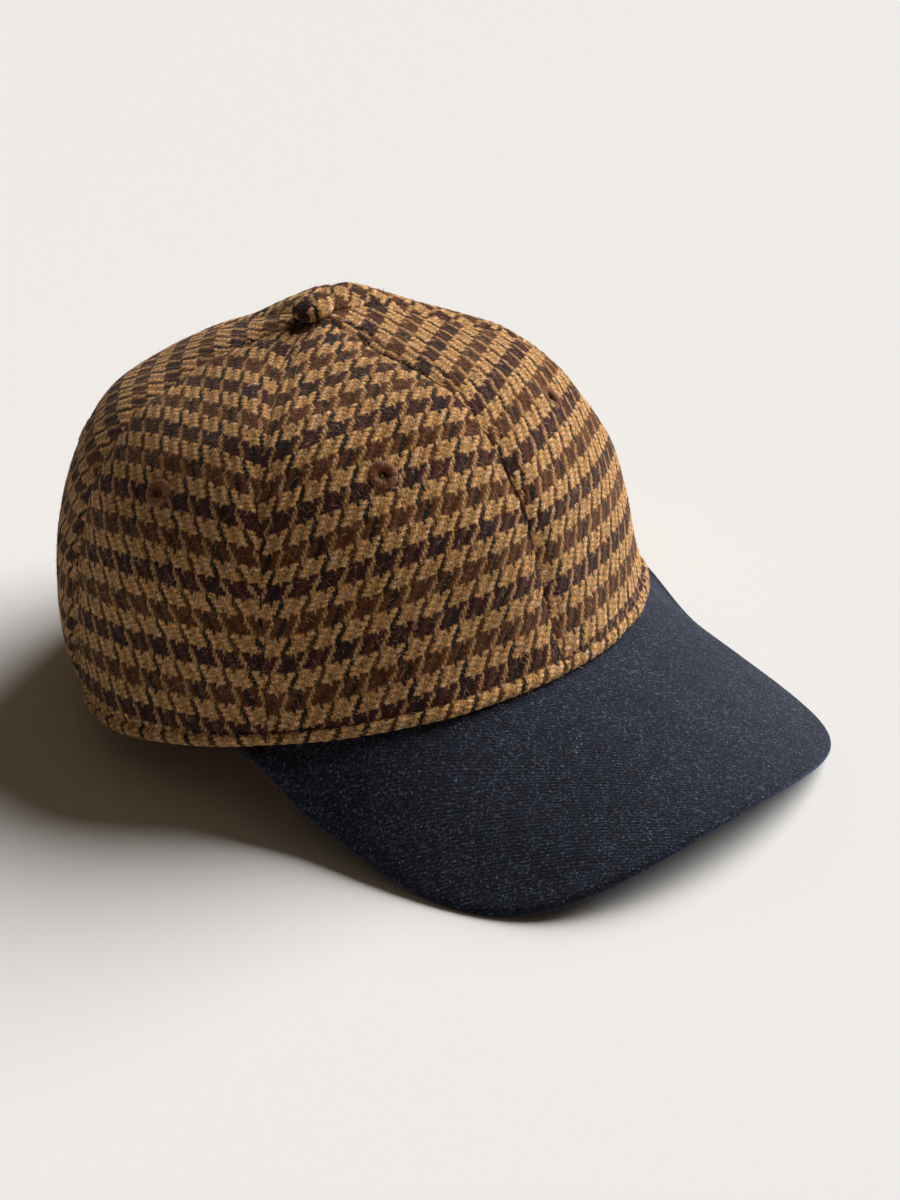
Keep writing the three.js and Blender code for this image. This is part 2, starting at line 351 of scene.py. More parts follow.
def new_piece(name, points, triangles, material, uv=None, colours=None):
    """A mesh object from points in millimetres, with cloth coordinates and colours if given."""
    mesh = bpy.data.meshes.new(name)
    mesh.from_pydata((np.asarray(points) * MM).tolist(), [], np.asarray(triangles).tolist())
    corners = np.asarray(triangles).ravel()
    if uv is not None:
        layer = mesh.uv_layers.new(name="cloth")
        layer.data.foreach_set("uv", uv[corners].astype(np.float32).ravel())
    if colours is not None:
        tint = mesh.color_attributes.new("yarn", "FLOAT_COLOR", "POINT")
        tint.data.foreach_set("color", colours.astype(np.float32).ravel())
    mesh.polygons.foreach_set("use_smooth", np.ones(len(mesh.polygons), bool))
    mesh.materials.append(material)
    mesh.update()
    piece = bpy.data.objects.new(name, mesh)
    bpy.context.scene.collection.objects.link(piece)
    return piece


def dress(piece, slot, *nodes):
    """The piece rides on the cap, and stands for CAD nodes if any are named."""
    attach(piece, ROOT)
    if nodes:
        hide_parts(*nodes)
    return piece


def grid_triangles(columns, rows):
    """Triangles of a grid of vertices, numbered row by row, facing the way that rows cross columns."""
    first = (np.arange(rows - 1)[:, None] * columns + np.arange(columns - 1)[None, :]).ravel()
    lower = np.stack([first, first + 1, first + columns + 1], -1)
    upper = np.stack([first, first + columns + 1, first + columns], -1)
    return np.concatenate([lower, upper])


def drop_flat(triangles):
    """Leaves out triangles whose corners have run together."""
    a, b, c = triangles.T
    return triangles[(a != b) & (b != c) & (c != a)]


def close_wall(triangles, count):
    """Adds the inner face, whose vertices follow the outer ones, and joins the two at every open edge."""
    edges = np.concatenate([triangles[:, [0, 1]], triangles[:, [1, 2]], triangles[:, [2, 0]]])
    keys = np.sort(edges, axis=1) @ np.array([count, 1])
    _, where, times = np.unique(keys, return_index=True, return_counts=True)
    start, end = edges[where[times == 1]].T
    rim = np.concatenate([
        np.stack([end, start, start + count], -1),
        np.stack([end, start + count, end + count], -1),
    ])
    return np.concatenate([triangles, triangles[:, ::-1] + count, rim])


def thread_counts(face, start_end, start_pick, x, y):
    """Cloth coordinates counted in warp ends and weft picks."""
    return np.stack([face * x / WARP_PITCH + start_end, y / WEFT_PITCH + start_pick], -1)


def turn_flat(x, y, degrees):
    """Turns flat cloth in its own plane."""
    cosine = math.cos(math.radians(degrees))
    sine = math.sin(math.radians(degrees))
    return x * cosine - y * sine, x * sine + y * cosine


def make_panel(row, seed, material):
    """A panel with two vertices to a thread each way, so that the weave is raised in the mesh."""
    place, start, end, face, grain, start_end, start_pick = row
    cut = PanelCut(start, end)
    reach = math.hypot(cut.half_width.max(), cut.climb[-1]) * abs(math.sin(math.radians(grain)))
    widest = math.ceil((cut.half_width.max() + reach) / WARP_PITCH) + 1
    tallest = math.ceil((cut.climb[-1] + reach) / WEFT_PITCH) + 3
    lowest = math.ceil(reach / WEFT_PITCH) + 1
    across = np.arange(-2 * widest, 2 * widest + 1) * WARP_PITCH / 2
    up = np.arange(-2 * lowest, 2 * tallest + 1) * WEFT_PITCH / 2
    x, y = (values.ravel() for values in turn_flat(*np.meshgrid(across, up), grain))
    level, angle, x, y = cut.place(x, y)
    keys = np.round(np.stack([x, y], -1), 4)
    _, first, same = np.unique(keys, axis=0, return_index=True, return_inverse=True)
    triangles = drop_flat(same.ravel()[grid_triangles(len(across), len(up))])
    level, angle, x, y = (values[first] for values in (level, angle, x, y))
    at_seam = cut.seam_distance(level, x) < 1e-6
    for on_edge in (at_seam & (x < 0), at_seam & (x > 0), level <= 0.0, level >= TIP_LEVEL):
        triangles = triangles[~on_edge[triangles].all(1)]
    eyelet_y = np.interp(EYELET_LEVEL, cut.levels, cut.climb)
    from_eyelet = np.hypot(x, y - eyelet_y)[triangles].mean(1)
    triangles = triangles[from_eyelet > EYELET_CUT_RADIUS]
    used, triangles = np.unique(triangles, return_inverse=True)
    triangles = triangles.reshape(-1, 3)
    level, angle, x, y = (values[used] for values in (level, angle, x, y))
    counts = thread_counts(face, start_end, start_pick, *turn_flat(x, y, -grain))
    height = crown_height(level)
    rolled = height < HEM_ROLL_HEIGHT
    counts[rolled, 1] = HEM_ROLL_PICK + height[rolled] / WEFT_PITCH
    normal = crown_normal(level, angle)
    form = crown_form(level, angle)
    depth = panel_depth(cut, level, x, y, seed)
    outer = form - normal * (depth - thread_relief(counts[:, 0], counts[:, 1]) + THREAD_WAVE)[:, None]
    inner = form - normal * (wall_thickness(level) + np.maximum(depth, 0.0))[:, None]
    outer[level <= 0.0, 2] = 0.0
    inner[level <= 0.0, 2] = 0.0
    points = lie_down(np.concatenate([outer, inner]))
    triangles = close_wall(triangles, len(outer))
    panel = new_piece(f"tweed_panel_{place}", points, triangles, material, np.concatenate([counts, counts]))
    return dress(panel, "tweed", f"panel_{place}")


def make_ribbons(name, starts, normals, lengths, width, stand, colours, material):
    """Short loose fibres as thin curved ribbons that leave the cloth and lie back toward it."""
    count = len(starts)
    sideways = unit(np.cross(normals, chance.normal(size=(count, 3))))
    heading = np.cross(sideways, normals)
    swerve = chance.normal(0.0, 0.6, count)
    lift = np.abs(chance.normal(stand, stand * 0.7, count))
    point = starts.copy()
    lefts = []
    rights = []
    for step in range(FIBRE_SEGMENTS + 1):
        share = step / FIBRE_SEGMENTS
        turn = (swerve * share * 2.2)[:, None]
        along = heading * np.cos(turn) + sideways * np.sin(turn)
        across = np.cross(normals, along)
        taper = width * (1.0 - 0.6 * share) / 2
        above = (lengths * lift * math.sin(math.pi * min(share * 0.8 + 0.06, 1.0)))[:, None]
        lefts.append(point + normals * above - across * taper)
        rights.append(point + normals * above + across * taper)
        point = point + along * (lengths / FIBRE_SEGMENTS)[:, None]
    points = np.stack([np.stack(lefts, 1), np.stack(rights, 1)], 2).reshape(-1, 3)
    strip = []
    for step in range(FIBRE_SEGMENTS):
        low = 2 * step
        strip += [(low, low + 2, low + 3), (low, low + 3, low + 1)]
    per_fibre = 2 * (FIBRE_SEGMENTS + 1)
    offsets = np.arange(count)[:, None, None] * per_fibre
    triangles = (np.array(strip)[None] + offsets).reshape(-1, 3)
    points[:, 2] = np.maximum(points[:, 2], 0.0)
    return new_piece(name, points, triangles, material, colours=np.repeat(colours, per_fibre, axis=0))


def make_panel_fibres(row, seed, count, palette, material):
    """Loose fibres spread over one panel."""
    place, start, end = row[:3]
    cut = PanelCut(start, end)
    x = chance.uniform(-1.0, 1.0, count) * cut.half_width.max()
    y = chance.uniform(0.0, 1.0, count) * cut.climb[-1]
    level, angle, inside, up = cut.place(x, y)
    kept = (np.abs(inside - x) < 1e-6) & (np.abs(up - y) < 1e-3) & (level < TIP_LEVEL * 0.97)
    level, angle, x, y = (values[kept] for values in (level, angle, inside, up))
    normal = crown_normal(level, angle)
    skin = crown_form(level, angle) - normal * panel_depth(cut, level, x, y, seed)[:, None]
    colours = palette[chance.integers(0, len(palette), len(x))]
    lengths = chance.uniform(*PANEL_FIBRE_LENGTHS, len(x))
    fibres = make_ribbons(
        f"loose_fibres_{place}", lie_down(skin), lie_down_direction(normal), lengths,
        PANEL_FIBRE_WIDTH, PANEL_FIBRE_STAND, colours, material)
    return dress(fibres, "tweed")


def frame_on_crown(level, angle):
    """A place on the crown's outer form with two directions along the cloth and one out of it."""
    out = crown_normal(level, angle)
    right = unit(np.cross(np.array([0.0, 0.0, 1.0]), out))
    return crown_form(level, angle), right, np.cross(out, right), out


def make_eyelet(row, material):
    """A ring of radial stitches wrapped through the cloth."""
    place, start, end = row[:3]
    centre, right, up, out = frame_on_crown(EYELET_LEVEL, math.radians((start + end) / 2))
    sides = EYELET_STITCHES * POINTS_ON_STITCH
    around = np.arange(sides) * 2 * math.pi / sides
    profile = np.arange(POINTS_ON_EYELET_SECTION) * 2 * math.pi / POINTS_ON_EYELET_SECTION
    ring_radius = (EYELET_RADIUS + EYELET_HOLE_RADIUS) / 2
    half_width = (EYELET_RADIUS - EYELET_HOLE_RADIUS) / 2
    half_height = CLOTH_THICKNESS / 2 + EYELET_PROUD
    stitch = np.abs(np.cos(around * EYELET_STITCHES / 2))
    uneven = np.repeat(chance.normal(0.0, 0.09, EYELET_STITCHES), POINTS_ON_STITCH)
    swell = 1.0 + 0.16 * (stitch - 0.6) + uneven * 0.5
    radius = ring_radius + half_width * np.cos(profile)[:, None] * (1.0 + (swell - 1.0)[None] * 0.8)
    section = np.sin(profile)[:, None]
    height = half_height * np.sign(section) * np.abs(section) ** 0.7 * swell
    height = height - CLOTH_THICKNESS / 2
    points = centre + (radius * np.cos(around))[..., None] * right
    points = points + (radius * np.sin(around))[..., None] * up + height[..., None] * out
    triangles = ring_triangles(len(around), len(profile))
    eyelet = new_piece(f"sewn_eyelet_{place}", lie_down(points.reshape(-1, 3)), triangles, material)
    return dress(eyelet, "eyelet_thread", f"eyelet_{place}")


def ring_triangles(columns, rows):
    """Triangles of a grid that closes on itself both ways."""
    row, column = np.indices((rows, columns)).reshape(2, -1)
    next_row = (row + 1) % rows
    next_column = (column + 1) % columns
    a = row * columns + column
    b = row * columns + next_column
    c = next_row * columns + next_column
    d = next_row * columns + column
    return np.concatenate([np.stack([a, b, c], -1), np.stack([a, c, d], -1)])


def make_button(material):
    """A domed button covered with the tweed, which is drawn under its rim."""
    turn = np.arange(24) * 2 * math.pi / 24
    centre = (crown_form(TIP_LEVEL, turn) - crown_normal(TIP_LEVEL, turn) * SEAM_DIP).mean(0)
    out = unit(crown_normal(TIP_LEVEL, turn).mean(0))
    right = unit(np.cross(np.array([0.0, 1.0, 0.0]), out))
    up = np.cross(out, right)
    centre = centre + out * BUTTON_LIFT
    sides = BUTTON_SIDES
    around = np.arange(sides) * 2 * math.pi / sides
    rise = np.linspace(0.0, math.pi / 2, 22)[:-1]
    radius = np.concatenate([[2.0, BUTTON_SEAT_RADIUS], BUTTON_RADIUS * np.cos(rise)])
    height = np.concatenate([[0.2, 0.0], BUTTON_RIM + (BUTTON_HEIGHT - BUTTON_RIM) * np.sin(rise)])
    x = radius[:, None] * np.cos(around)
    y = radius[:, None] * np.sin(around)
    counts = thread_counts(*BUTTON_CHECK, x, y)
    lift = (thread_relief(counts[..., 0], counts[..., 1]) - THREAD_WAVE) * (height > BUTTON_RIM)[:, None]
    points = centre + x[..., None] * right + y[..., None] * up + (height[:, None] + lift)[..., None] * out
    points = points.reshape(-1, 3)
    base = centre + out * 0.2
    top = centre + out * BUTTON_HEIGHT
    points = np.concatenate([points, [base, top]])
    count = len(radius) * sides
    triangles = []
    for row in range(len(radius) - 1):
        a = row * sides + np.arange(sides)
        b = row * sides + (np.arange(sides) + 1) % sides
        triangles += [np.stack([a, b, b + sides], -1), np.stack([a, b + sides, a + sides], -1)]
    first = np.arange(sides)
    last = count - sides + first
    triangles += [np.stack([np.full(sides, count), np.roll(first, -1), first], -1)]
    triangles += [np.stack([np.full(sides, count + 1), last, np.roll(last, -1)], -1)]
    centre_counts = thread_counts(*BUTTON_CHECK, np.zeros(2), np.zeros(2))
    uv = np.concatenate([counts.reshape(-1, 2), centre_counts])
    button = new_piece("covered_button", lie_down(points), np.concatenate(triangles), material, uv)
    return dress(button, "tweed", "button")


def peak_edge(place):
    """The peak's outer edge, from -1 at the wearer's left end to 1 at the right end."""
    ends = crown_form(0.0, PEAK_HEM_ANGLE)
    front_y = -(CROWN_SECTIONS[0, FRONT] + PEAK_LENGTH)
    quarter = (1.0 - (1.0 - np.abs(place)) ** 2) * math.pi / 2
    cosine = np.maximum(0.0, np.cos(quarter))
    y = ends[1] + (front_y - ends[1]) * cosine ** (2 / PEAK_FRONT_ROUNDNESS)
    closing = 1.0 - smoothstep((ends[1] - y) / (ends[1] - front_y), 0.0, PEAK_CORNER_SHARE)
    wide = PEAK_HALF_WIDTH * np.sin(quarter) ** (2 / PEAK_SIDE_ROUNDNESS)
    wide = wide + (-ends[0] - wide) * closing
    sunk = PEAK_DROP + PEAK_SIDE_BEND * wide ** 2 - PEAK_FRONT_SLOPE * (y + CROWN_SECTIONS[0, FRONT])
    z = -np.maximum(CLEARANCE, sunk * (1.0 - closing ** 2))
    return np.stack([-np.sign(place) * wide, y, z], -1)


def peak_root(place):
    """The hem line that the peak hangs from. Near its ends the peak runs straight out from the crown."""
    edge = peak_edge(place)
    front = CROWN_SECTIONS[0, FRONT]
    back = CROWN_SECTIONS[0, BACK]
    across = -edge[..., 0] / CROWN_SECTIONS[0, HALF_WIDTH]
    forward = ((back - front) / 2 - edge[..., 1]) / ((back + front) / 2)
    near_end = smoothstep(np.abs(place), PEAK_STRAIGHT_FROM, PEAK_STRAIGHT_FULL)
    angle = place * PEAK_HEM_ANGLE * (1.0 - near_end) + np.arctan2(across, forward) * near_end
    root = crown_form(0.0, angle)
    reach = np.hypot(root[..., 0], root[..., 1])[..., None]
    root = root * (reach - PEAK_TUCK) / reach
    root[..., 2] = -CLEARANCE
    return root


def make_peak(material):
    """The peak as one closed sheet with a rounded front edge."""
    place = np.sin(np.linspace(-1.0, 1.0, PEAK_COLUMNS) * math.pi / 2)
    root = peak_root(place)
    edge = peak_edge(place)
    half = PEAK_THICKNESS / 2
    reach = np.linalg.norm(edge - root, axis=1, keepdims=True)
    outward = (edge - root) / reach
    round_reach = np.minimum(half, reach * 0.45)
    lip = edge - outward * round_reach
    share = np.linspace(0.0, 1.0, PEAK_ROWS)[:, None, None]
    upper = root + (lip - root) * share
    facing = unit(np.cross(np.gradient(upper, axis=0), np.gradient(upper, axis=1)))
    facing = facing * np.sign(facing[len(share) // 2, len(place) // 2, 2])
    bend = np.linspace(math.pi / 2, -math.pi / 2, 9)[1:-1, None, None]
    rim = lip + facing[-1] * half * (np.sin(bend) - 1.0) + outward * round_reach * np.cos(bend)
    lower = (upper - facing * PEAK_THICKNESS)[::-1]
    loops = np.concatenate([upper, rim, lower])
    past_lip = np.concatenate([share * 0.0, half * (math.pi / 2 - bend), share * 0.0 + half * math.pi])
    flat = np.concatenate([upper, rim * 0.0 + lip, lower]) + outward * past_lip
    rows, columns = loops.shape[:2]
    fade = smoothstep(share, 0.0, 0.3) * (1.0 - smoothstep(share, 0.85, 1.0))
    swell = cloth_unevenness(upper[..., 0], upper[..., 1], 5)[..., None] * PEAK_SWELL
    loops[:len(share)] += facing * swell * fade
    triangles = []
    for row in range(rows):
        a = row * columns + np.arange(columns - 1)
        b = (row + 1) % rows * columns + np.arange(columns - 1)
        triangles += [np.stack([a, a + 1, b + 1], -1), np.stack([a, b + 1, b], -1)]
    inner = np.arange(rows - 2) + 1
    for column, flip in ((0, 1), (columns - 1, -1)):
        fan = np.stack([np.zeros_like(inner), inner, inner + 1], -1) * columns + column
        triangles.append(fan[:, ::flip])
    peak = new_piece(
        "wool_peak", lie_down(loops.reshape(-1, 3)), np.concatenate(triangles), material,
        flat.reshape(-1, 3)[:, :2])
    return dress(peak, "navy_wool", "peak")


def peak_point(place, share):
    """A point of the peak's upper face, from the hem line at share 0 to the edge at 1."""
    return peak_root(place) * (1 - share) + peak_edge(place) * share


def make_peak_fibres(count, palette, material):
    """Loose fibres spread evenly over the peak."""
    step = 0.001
    place = chance.uniform(-0.93, 0.93, 6 * count)
    share = chance.uniform(0.03, 0.96, (6 * count, 1))
    point = peak_point(place, share)
    along = peak_point(place + step, share) - point
    out = peak_point(place, share + step) - point
    facing = np.cross(along, out)
    area = np.linalg.norm(facing, axis=1)
    kept = np.flatnonzero(chance.uniform(0.0, np.quantile(area, 0.99), len(area)) < area)[:count]
    normal = unit(facing[kept])
    normal = normal * np.sign(normal[:, 2:])
    colours = palette[chance.integers(0, len(palette), len(kept))]
    lengths = chance.uniform(*PEAK_FIBRE_LENGTHS, len(kept))
    fibres = make_ribbons(
        "loose_fibres_peak", lie_down(point[kept]), lie_down_direction(normal), lengths,
        PEAK_FIBRE_WIDTH, PEAK_FIBRE_STAND, colours, material)
    return dress(fibres, "navy_wool")


def linear(hex_colour):
    """An sRGB hex colour as linear red, green, blue and alpha."""
    values = [int(hex_colour[place:place + 2], 16) / 255 for place in (1, 3, 5)]
    return [v / 12.92 if v <= 0.04045 else ((v + 0.055) / 1.055) ** 2.4 for v in values] + [1.0]


def add_node(tree, kind, inputs=None, **settings):
    """Adds a node with its settings, and fills its inputs with values or links them to other outputs.

    Inputs go by name, or by number where several have the same name.
    """
    made = tree.nodes.new(kind)
    for name, value in settings.items():
        setattr(made, name, value)
    for name, value in (inputs or {}).items():
        if isinstance(value, bpy.types.NodeSocket):
            tree.links.new(value, made.inputs[name])
        else:
            made.inputs[name].default_value = value
    return made


def new_material(name):
    """A material with its node tree and its shader."""
    material = bpy.data.materials.new(name)
    material.use_nodes = True
    return material, material.node_tree, material.node_tree.nodes["Principled BSDF"]


def set_stops(ramp, stops, interpolation="LINEAR"):
    """Fills a colour ramp with (position, hex colour) stops."""
    ramp.color_ramp.interpolation = interpolation
    elements = ramp.color_ramp.elements
    while len(elements) < len(stops):
        elements.new(1.0)
    for element, (position, colour) in zip(elements, stops):
        element.position = position
        element.color = linear(colour)


# Colours of the woven yarns, and of the loose fibres on the crown and the peak
TAN = "#cbab81"
BROWN = "#5c381d"
BURGUNDY_BLACK = "#3c1722"
GREEN_BLACK = "#161e1a"
CROWN_WOOLS = ("#b08a58", "#b08a58", "#a87c46", "#cfae78", "#d8bd92", "#9a5f38", "#6b4225", "#33241c")
PEAK_WOOLS = ("#2a2f3e", "#3f475c", "#5f6880", "#8a92a4", "#1b1d24")


def woollen_tweed():
    """Woollen yarn woven in a two-and-two twill and left hairy.

    The eye sees stripes of four threads each way, stepped where light and dark cross. The fuller weft hides
    much of the warp, so its dark bands run on and the warp shows as thin slanting lines. Flecks of other
    wools are spun into the yarn. Cloth coordinates count threads.
    """
    material, tree, shader = new_material("woollen_tweed_twill")
    counts = add_node(tree, "ShaderNodeUVMap", uv_map="cloth").outputs["UV"]
    size = (WARP_PITCH, WEFT_PITCH, 1.0)
    half = (0.5, 0.5, 0.5)
    on_cloth = add_node(tree, "ShaderNodeVectorMath", {0: counts, 1: size}, operation="MULTIPLY").outputs[0]
    # The threads wander: slow bends of the cloth, and the uneven edges of spun yarn
    moved = counts
    for scale, detail, reach in ((0.16, 1.0, 0.9), (1.5, 4.0, 2.2)):
        noise = add_node(
            tree, "ShaderNodeTexNoise",
            {"Vector": on_cloth, "Scale": scale, "Detail": detail, "Roughness": 0.65})
        push = add_node(
            tree, "ShaderNodeVectorMath",
            {0: noise.outputs["Color"], 1: half}, operation="SUBTRACT").outputs[0]
        moved = add_node(
            tree, "ShaderNodeVectorMath", {0: push, 1: (reach, reach, 0.0), 2: moved},
            operation="MULTIPLY_ADD").outputs[0]
    whole = add_node(tree, "ShaderNodeVectorMath", {0: moved}, operation="FLOOR").outputs[0]
    part = add_node(tree, "ShaderNodeVectorMath", {0: moved}, operation="FRACTION").outputs[0]
    place = add_node(tree, "ShaderNodeSeparateXYZ", {0: moved}).outputs
    thread = add_node(tree, "ShaderNodeSeparateXYZ", {0: whole}).outputs
    within = add_node(tree, "ShaderNodeSeparateXYZ", {0: part}).outputs
    # Warp and weft: how high each stands, and the colour of its stripe
    heights = []
    stripes = []
    for own, other, lag, stand, order in (
        ("X", "Y", 0.0, 0.0, (TAN, GREEN_BLACK, TAN, BROWN)),
        ("Y", "X", WEFT_LAG, WEFT_STAND, (TAN, BROWN, TAN, BURGUNDY_BLACK)),
    ):
        turn = add_node(
            tree, "ShaderNodeMath", {0: place[other], 1: thread[own]}, operation="SUBTRACT").outputs[0]
        turn = add_node(tree, "ShaderNodeMath", {0: turn, 1: lag}, operation="SUBTRACT").outputs[0]
        turn = add_node(tree, "ShaderNodeMath", {0: turn, 1: math.pi / 2}, operation="MULTIPLY").outputs[0]
        wave = add_node(tree, "ShaderNodeMath", {0: turn}, operation="COSINE").outputs[0]
        bulge = add_node(
            tree, "ShaderNodeMath", {0: within[own], 1: math.pi}, operation="MULTIPLY").outputs[0]
        bulge = add_node(tree, "ShaderNodeMath", {0: bulge}, operation="SINE").outputs[0]
        height = add_node(
            tree, "ShaderNodeMath",
            {0: bulge, 1: THREAD_ROUND, 2: stand}, operation="MULTIPLY_ADD").outputs[0]
        height = add_node(
            tree, "ShaderNodeMath",
            {0: wave, 1: THREAD_WAVE, 2: height}, operation="MULTIPLY_ADD").outputs[0]
        heights.append(height)
        share = add_node(tree, "ShaderNodeMath", {0: thread[own], 1: 0.5}, operation="ADD").outputs[0]
        share = add_node(
            tree, "ShaderNodeMath", {0: share, 1: THREADS_IN_STRIPE * STRIPES_IN_REPEAT},
            operation="DIVIDE").outputs[0]
        share = add_node(tree, "ShaderNodeMath", {0: share}, operation="FRACT").outputs[0]
        ramp = add_node(tree, "ShaderNodeValToRGB", {"Fac": share})
        stops = [(stripe / STRIPES_IN_REPEAT, colour) for stripe, colour in enumerate(order)]
        set_stops(ramp, stops, "CONSTANT")
        stripes.append(ramp.outputs["Color"])
    warp_up = add_node(
        tree, "ShaderNodeMath", {0: heights[0], 1: heights[1]}, operation="GREATER_THAN").outputs[0]
    top = add_node(tree, "ShaderNodeMath", {0: heights[0], 1: heights[1]}, operation="MAXIMUM").outputs[0]
    yarn = add_node(
        tree, "ShaderNodeMix", {0: warp_up, 6: stripes[1], 7: stripes[0]}, data_type="RGBA").outputs[2]
    # Flecks: blends of wool along the yarn, and a little more at each crossing
    blend = add_node(
        tree, "ShaderNodeTexNoise", {"Vector": on_cloth, "Scale": 0.6, "Detail": 5.0, "Roughness": 0.85})
    own_tint = add_node(tree, "ShaderNodeTexWhiteNoise", {"Vector": whole}).outputs["Value"]
    spun = add_node(
        tree, "ShaderNodeMath",
        {0: own_tint, 1: 0.10, 2: blend.outputs["Fac"]}, operation="MULTIPLY_ADD").outputs[0]
    flecks = add_node(tree, "ShaderNodeValToRGB", {"Fac": spun})
    set_stops(flecks, [
        (0.40, "#5e4030"), (0.45, "#b08c70"), (0.49, "#ecd4b4"), (0.53, "#fff08c"), (0.57, "#ffb48e"),
        (0.62, "#fffaf4")])
    tinted = add_node(
        tree, "ShaderNodeVectorMath",
        {0: yarn, 1: flecks.outputs["Color"]}, operation="MULTIPLY").outputs[0]
    # Fine hairs, lighter and darker at random, with a painted highlight that lifts them brighter and paler
    # where they stand out; the gaps between threads get painted shade
    hairs = add_node(
        tree, "ShaderNodeTexNoise", {"Vector": on_cloth, "Scale": 2.2, "Detail": 5.0, "Roughness": 0.8})
    hair_mottle_and_highlight = add_node(
        tree, "ShaderNodeMapRange",
        {6: hairs.outputs["Fac"], 7: (0.36,) * 3, 8: (0.64,) * 3,
         9: (0.18, 0.15, 0.12), 10: (2.2, 2.4, 2.8)},
        data_type="FLOAT_VECTOR").outputs[1]
    # Painted shade: the lower the topmost thread stands, the darker its colour is made
    painted_gap_shade = add_node(
        tree, "ShaderNodeMapRange", {"Value": top, 1: 0.18, 2: 0.50, 3: 0.42, 4: 1.2}).outputs[0]
    lit = add_node(tree, "ShaderNodeVectorMath", {0: tinted, 1: hair_mottle_and_highlight}, operation="MULTIPLY").outputs[0]
    colour = add_node(tree, "ShaderNodeVectorMath", {0: lit, "Scale": painted_gap_shade}, operation="SCALE").outputs[0]
    tree.links.new(colour, shader.inputs["Base Color"])
    relief = add_node(
        tree, "ShaderNodeMath",
        {0: top, 1: 2.0, 2: hairs.outputs["Fac"]}, operation="MULTIPLY_ADD").outputs[0]
    bump = add_node(tree, "ShaderNodeBump", {"Height": relief, "Strength": 0.8, "Distance": 0.0004})
    tree.links.new(bump.outputs["Normal"], shader.inputs["Normal"])
    shader.inputs["Roughness"].default_value = 0.95
    shader.inputs["Specular IOR Level"].default_value = 0.2
    shader.inputs["Sheen Weight"].default_value = 0.2
    shader.inputs["Sheen Roughness"].default_value = 0.5
    shader.inputs["Sheen Tint"].default_value = linear("#efe5d6")
    return material


def navy_flannel():
    """Navy melange wool, woven in a fine twill and lightly milled.

    The eye sees a near-black blue with pale and mid-blue fibres lying every way, faint slanting twill
    lines, and a bluish bloom where the light grazes it. Cloth coordinates are millimetres in plan.
    """
    material, tree, shader = new_material("navy_wool_flannel")
    plan = add_node(tree, "ShaderNodeUVMap", uv_map="cloth").outputs["UV"]
    turned = add_node(
        tree, "ShaderNodeMapping", {"Vector": plan, "Rotation": (0.0, 0.0, math.radians(45.0))}).outputs[0]
    lines = add_node(
        tree, "ShaderNodeTexWave", {"Vector": turned, "Scale": 0.31, "Distortion": 2.2, "Detail": 3.0,
                                    "Detail Scale": 1.8}, bands_direction="Y").outputs["Fac"]
    # Fibres that lie two ways
    lying = []
    for stretch in ((0.7, 2.0, 1.0), (1.6, 1.0, 1.0)):
        pulled = add_node(tree, "ShaderNodeMapping", {"Vector": turned, "Scale": stretch}).outputs[0]
        noise = add_node(
            tree, "ShaderNodeTexNoise", {"Vector": pulled, "Scale": 0.95, "Detail": 4.0, "Roughness": 0.7})
        lying.append(noise.outputs["Fac"])
    most = add_node(tree, "ShaderNodeMath", {0: lying[0], 1: lying[1]}, operation="MAXIMUM").outputs[0]
    melange = add_node(tree, "ShaderNodeValToRGB", {"Fac": most})
    set_stops(melange, [(0.44, "#0a0b0f"), (0.54, "#161a25"), (0.62, "#303850"), (0.73, "#98a1b6")])
    clumps = add_node(
        tree, "ShaderNodeTexNoise", {"Vector": plan, "Scale": 0.22, "Detail": 2.0}).outputs["Fac"]
    clumps = add_node(
        tree, "ShaderNodeMapRange", {"Value": clumps, 1: 0.35, 2: 0.65, 3: 0.7, 4: 1.3}).outputs[0]
    shade = add_node(tree, "ShaderNodeMapRange", {"Value": lines, 3: 0.72, 4: 1.14}).outputs[0]
    shade = add_node(tree, "ShaderNodeMath", {0: shade, 1: clumps}, operation="MULTIPLY").outputs[0]
    colour = add_node(
        tree, "ShaderNodeVectorMath",
        {0: melange.outputs["Color"], "Scale": shade}, operation="SCALE").outputs[0]
    tree.links.new(colour, shader.inputs["Base Color"])
    relief = add_node(
        tree, "ShaderNodeMath", {0: lines, 1: 0.25, 2: most}, operation="MULTIPLY_ADD").outputs[0]
    bump = add_node(tree, "ShaderNodeBump", {"Height": relief, "Strength": 0.6, "Distance": 0.0005})
    tree.links.new(bump.outputs["Normal"], shader.inputs["Normal"])
    shader.inputs["Roughness"].default_value = 0.9
    shader.inputs["Specular IOR Level"].default_value = 0.2
    shader.inputs["Sheen Weight"].default_value = 0.8
    shader.inputs["Sheen Roughness"].default_value = 0.35
    shader.inputs["Sheen Tint"].default_value = linear("#8593c0")
    return material


def eyelet_thread():
    """Rust-brown spun thread, sewn over and over.

    The eye sees matt ridges that darken between the stitches and a little loose fluff.
    """
    material, tree, shader = new_material("spun_embroidery_thread")
    place = add_node(tree, "ShaderNodeTexCoord").outputs["Object"]
    fluff = add_node(
        tree, "ShaderNodeTexNoise", {"Vector": place, "Scale": 1600.0, "Detail": 3.0, "Roughness": 0.7})
    ramp = add_node(tree, "ShaderNodeValToRGB", {"Fac": fluff.outputs["Fac"]})
    set_stops(ramp, [(0.30, "#3f2410"), (0.52, "#7d4a22"), (0.75, "#b07440")])
    tree.links.new(ramp.outputs["Color"], shader.inputs["Base Color"])
    bump = add_node(
        tree, "ShaderNodeBump", {"Height": fluff.outputs["Fac"], "Strength": 0.5, "Distance": 0.0002})
    tree.links.new(bump.outputs["Normal"], shader.inputs["Normal"])
    shader.inputs["Roughness"].default_value = 0.85
    shader.inputs["Sheen Weight"].default_value = 0.2
    return material


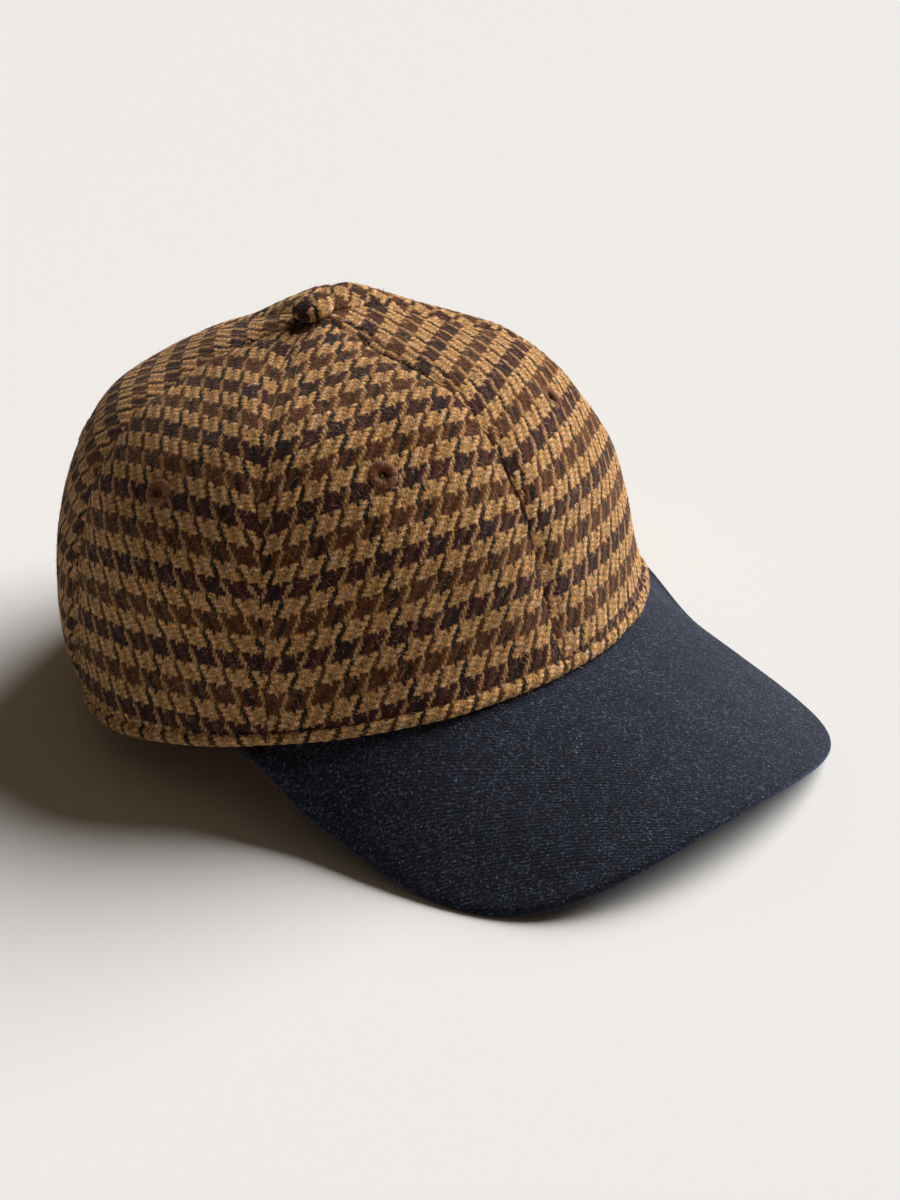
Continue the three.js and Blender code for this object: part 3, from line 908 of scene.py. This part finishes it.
def loose_wool():
    """Single wool fibres that stand off the cloth, each in its own colour.

    They are drawn about three times as thick as real ones, so that they show.
    """
    material, tree, shader = new_material("loose_wool_fibre")
    tint = add_node(tree, "ShaderNodeAttribute", attribute_name="yarn").outputs["Color"]
    tree.links.new(tint, shader.inputs["Base Color"])
    shader.inputs["Roughness"].default_value = 0.8
    shader.inputs["Sheen Weight"].default_value = 0.2
    return material


def matt_paper():
    """Pale matt paper, as a plain studio sweep."""
    material, _, shader = new_material("matt_paper")
    shader.inputs["Base Color"].default_value = linear("#eaecee")
    shader.inputs["Roughness"].default_value = 0.95
    shader.inputs["Specular IOR Level"].default_value = 0.1
    return material


def make_cap():
    """Every piece of the cap, panel by panel, then the button and the peak."""
    tweed = woollen_tweed()
    thread = eyelet_thread()
    wool = loose_wool()
    crown_palette = np.array([linear(colour) for colour in CROWN_WOOLS])
    peak_palette = np.array([linear(colour) for colour in PEAK_WOOLS])
    for seed, row in enumerate(PANELS):
        make_panel(row, seed, tweed)
        make_panel_fibres(row, seed, PANEL_FIBRES, crown_palette, wool)
        make_eyelet(row, thread)
    make_button(tweed)
    make_peak(navy_flannel())
    make_peak_fibres(PEAK_FIBRES, peak_palette, wool)


def make_floor():
    """A level floor."""
    half = FLOOR_HALF_SIZE
    corners = np.array([(-half, -half, 0.0), (half, -half, 0.0), (half, half, 0.0), (-half, half, 0.0)])
    floor = new_piece("floor", corners, [(0, 1, 2), (0, 2, 3)], matt_paper())


def make_light():
    """Soft daylight from the right and above, with a pale room round it."""
    world = bpy.data.worlds.new("pale_room")
    world.use_nodes = True
    room = world.node_tree.nodes["Background"]
    room.inputs["Color"].default_value = linear("#ffdfb8")
    room.inputs["Strength"].default_value = ROOM_STRENGTH
    bpy.context.scene.world = world
    sun = bpy.data.lights.new("window_light", "SUN")
    sun.energy = SUN_STRENGTH
    sun.angle = SUN_SPREAD
    sun.color = linear("#fffbf6")[:3]
    lamp = bpy.data.objects.new("window_light", sun)
    lamp.rotation_euler = Vector(SUN_FROM).to_track_quat("Z", "Y").to_euler()
    bpy.context.scene.collection.objects.link(lamp)


def make_camera():
    """The camera at the photograph's angle."""
    back = Vector((
        math.sin(CAMERA_AZIMUTH) * math.cos(CAMERA_ELEVATION),
        -math.cos(CAMERA_AZIMUTH) * math.cos(CAMERA_ELEVATION),
        math.sin(CAMERA_ELEVATION),
    ))
    lens = bpy.data.cameras.new("camera")
    lens.sensor_fit = "VERTICAL"
    lens.sensor_height = SENSOR_HEIGHT_MM
    lens.lens = FOCAL_LENGTH_PX / PHOTO_HEIGHT_PX * SENSOR_HEIGHT_MM
    lens.clip_end = 20.0
    camera = bpy.data.objects.new("camera", lens)
    camera.location = (Vector(CAMERA_TARGET) + back * CAMERA_DISTANCE) * MM
    camera.rotation_euler = back.to_track_quat("Z", "Y").to_euler()
    bpy.context.scene.collection.objects.link(camera)
    bpy.context.scene.camera = camera


bpy.context.scene.view_settings.view_transform = "Standard"
make_camera()
make_light()
make_floor()
make_cap()
